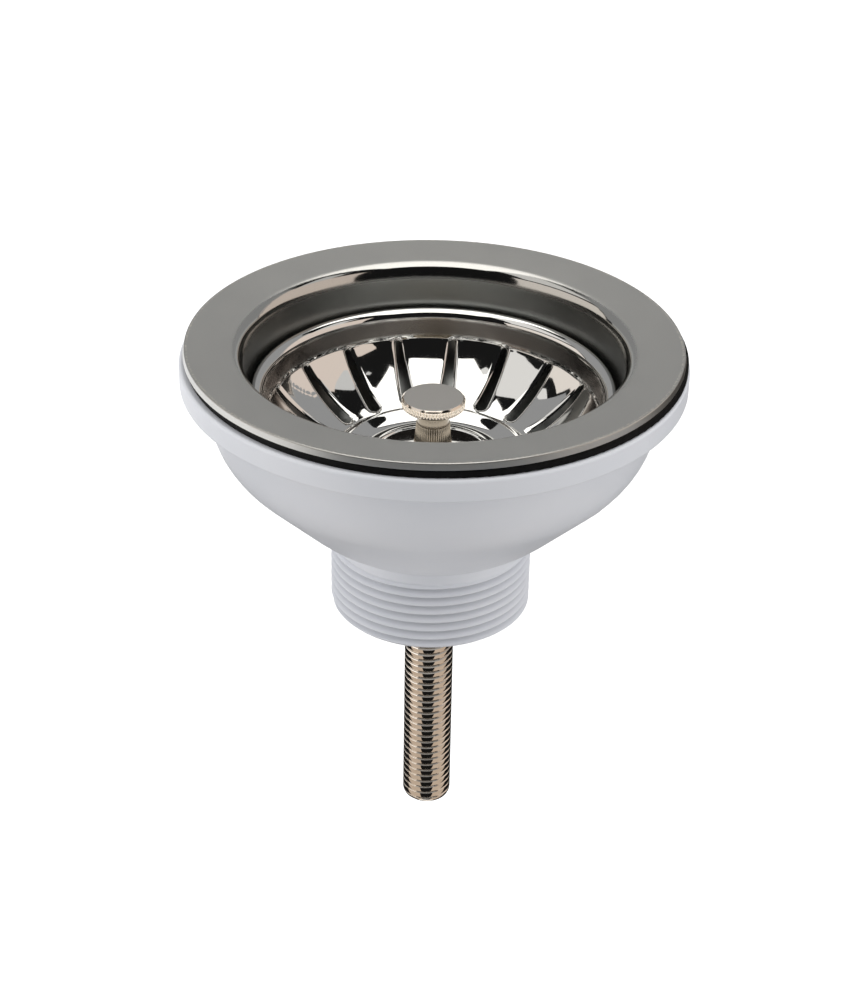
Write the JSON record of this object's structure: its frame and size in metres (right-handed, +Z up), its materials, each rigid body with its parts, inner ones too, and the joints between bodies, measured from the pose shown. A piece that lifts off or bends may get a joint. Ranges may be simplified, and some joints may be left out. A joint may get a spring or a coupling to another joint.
{
  "type": "basket strainer waste",
  "caption": "Round sink waste: steel flange and cup, lift-out slotted basket with a knob, white plastic body with a threaded outlet, and a long clamping bolt.",
  "frame": {"origin": "on the common axis, at the plane where the flange's lip meets the top of the sink", "axes": "+Z up out of the sink, along the axis of the cup, the bolt and the outlet"},
  "size_m": [0.1166, 0.1166, 0.1275],
  "materials": {
    "polished_steel": "satin",
    "mirror_steel": "mirror polished",
    "nickel_plate": "nickel plated, bright",
    "plain_brass": "turned",
    "black_rubber": "matte",
    "white_plastic": "semi-matte moulded"
  },
  "bodies": {
    "cup": {"flange_cup": "polished_steel", "flange_seal": "black_rubber"},
    "rings": {"stem_rings": "black_rubber"},
    "basket": {"strainer_basket": "mirror_steel", "basket_knob": "nickel_plate", "plug_seal": "black_rubber", "seal_washer": "polished_steel", "plug_stem": "nickel_plate"},
    "bolt": {"clamp_bolt": "nickel_plate"},
    "body": {"waste_body": "white_plastic", "threaded_insert": "plain_brass", "body_gasket": "black_rubber"}
  },
  "joints": [
    {"name": "basket_lift", "type": "slide", "parent": "cup", "child": "rings", "axis": [0, 0, 1], "range_m": [0, 0.06]},
    {"name": "basket_turn", "type": "hinge", "parent": "rings", "child": "basket", "pos_m": [0, 0, 0], "axis": [0, 0, 1], "continuous": true},
    {"name": "bolt_turn", "type": "hinge", "parent": "cup", "child": "bolt", "pos_m": [0, 0, -0.03595], "axis": [0, 0, 1], "range_deg": [0, 12960]},
    {"name": "body_drop", "type": "slide", "parent": "cup", "child": "body", "axis": [0, 0, -1], "range_m": [0, 0.063]}
  ],
  "couplings": [
    {"joint": "bolt_turn", "follows": "body_drop", "rad_per_m": 3590.4}
  ]
}
